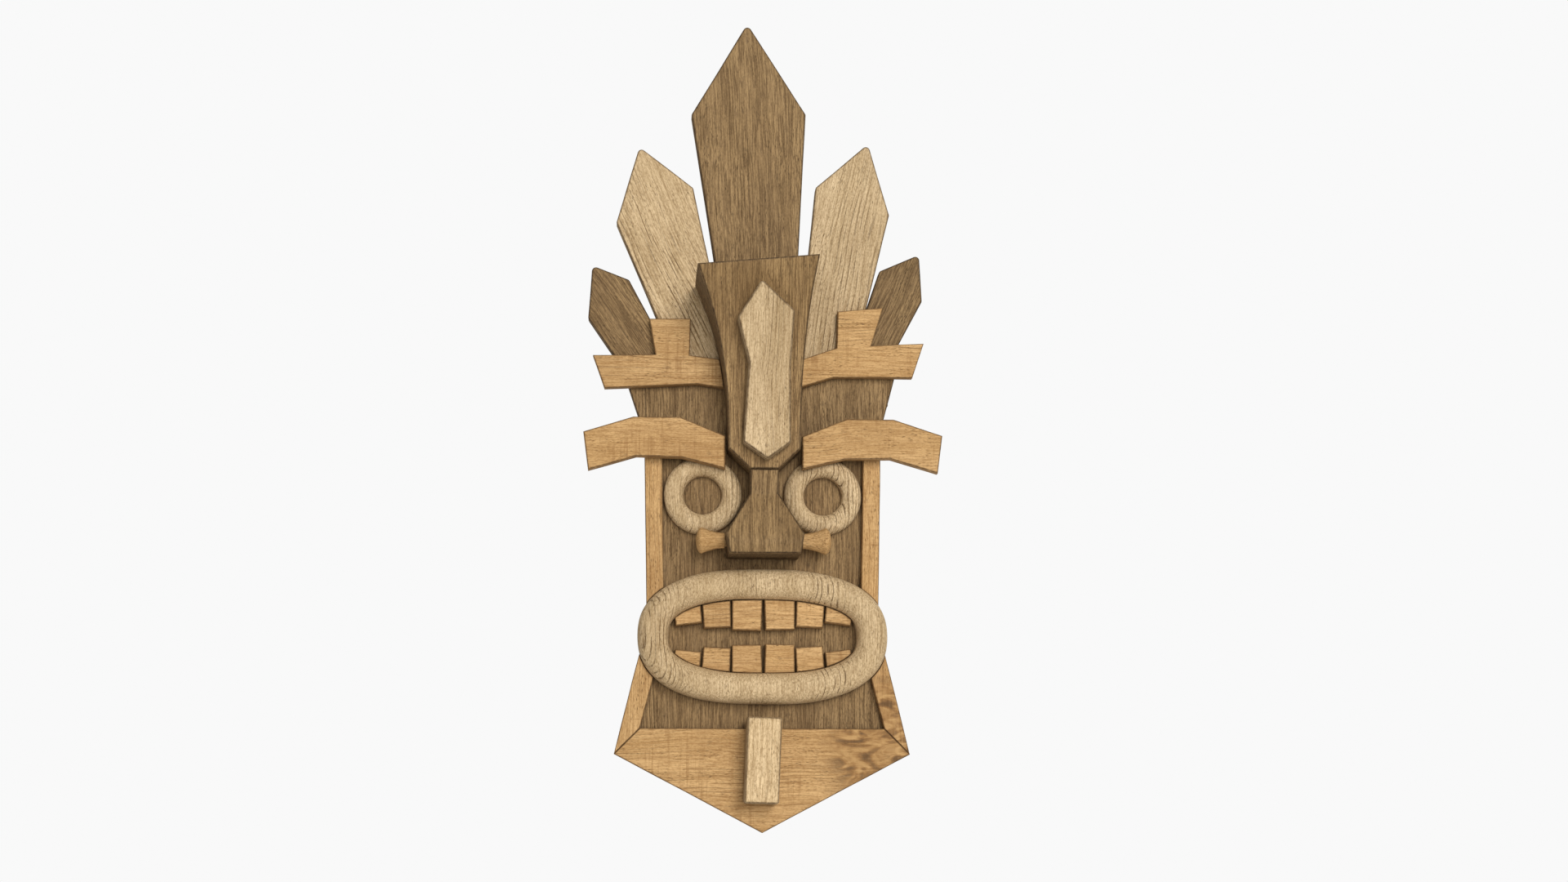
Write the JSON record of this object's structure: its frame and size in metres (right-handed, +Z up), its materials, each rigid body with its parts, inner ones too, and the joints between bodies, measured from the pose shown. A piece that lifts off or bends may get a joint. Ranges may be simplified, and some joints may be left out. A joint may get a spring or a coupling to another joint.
{
  "type": "carved wooden wall mask",
  "caption": "Wall mask built up from sawn wooden boards: tiki head with a pointed-board crown, headband, plaque, calm face, ring mouth with teeth and a beard block",
  "frame": {"origin": "middle of the back face of the upper batten, where the mask stands on the wall", "axes": "+Z up, +Y out of the back of the mask into the wall, +X to the right as seen from the front"},
  "size_m": [0.43, 0.1565, 0.9908],
  "materials": {
    "dark_wood": "matt weathered brown hardwood with straight dark grain",
    "pale_wood": "matt pale hardwood with dark pores and streaks",
    "golden_wood": "matt golden softwood with fine grain and ticks",
    "batten_wood": "raw sawn softwood",
    "steel": "zinc plated steel"
  },
  "bodies": {
    "mask": {"crown_board_outer_left": "dark_wood", "crown_board_centre": "dark_wood", "crown_board_outer_right": "dark_wood", "face_board": "dark_wood", "forehead_block": "dark_wood", "nose_block": "dark_wood", "brow_spacer_left": "dark_wood", "brow_spacer_right": "dark_wood", "beard_spacer": "dark_wood", "crown_board_inner_left": "pale_wood", "crown_board_inner_right": "pale_wood", "forehead_plaque": "pale_wood", "eye_ring_left": "pale_wood", "eye_ring_right": "pale_wood", "lip_ring": "pale_wood", "beard_block": "pale_wood", "locating_dowels": "pale_wood", "headband_left": "golden_wood", "headband_right": "golden_wood", "brow_left": "golden_wood", "brow_right": "golden_wood", "nose_peg": "golden_wood", "nose_peg_knob_left": "golden_wood", "nose_peg_knob_right": "golden_wood", "cheek_strip_left": "golden_wood", "cheek_strip_right": "golden_wood", "jaw_strip_left": "golden_wood", "jaw_strip_right": "golden_wood", "chin_board": "golden_wood", "upper_tooth_1": "golden_wood", "upper_tooth_2": "golden_wood", "upper_tooth_3": "golden_wood", "upper_tooth_4": "golden_wood", "upper_tooth_5": "golden_wood", "upper_tooth_6": "golden_wood", "lower_tooth_1": "golden_wood", "lower_tooth_2": "golden_wood", "lower_tooth_3": "golden_wood", "lower_tooth_4": "golden_wood", "lower_tooth_5": "golden_wood", "lower_tooth_6": "golden_wood", "upper_batten": "batten_wood", "lower_batten": "batten_wood", "hanger_strap_left": "steel", "hanger_strap_right": "steel", "hanger_screws": "steel", "batten_screws": "steel", "forehead_screws": "steel"},
    "hanger_ring_left": {"hanger_ring_left": "steel"},
    "hanger_ring_right": {"hanger_ring_right": "steel"}
  },
  "joints": [
    {"name": "hanger_hinge_left", "type": "hinge", "parent": "mask", "child": "hanger_ring_left", "pos_m": [-0.095, -0.0119, -0.083], "axis": [1, 0, 0], "range_deg": [0, 180]},
    {"name": "hanger_hinge_right", "type": "hinge", "parent": "mask", "child": "hanger_ring_right", "pos_m": [0.095, -0.0119, -0.083], "axis": [1, 0, 0], "range_deg": [0, 180]}
  ]
}
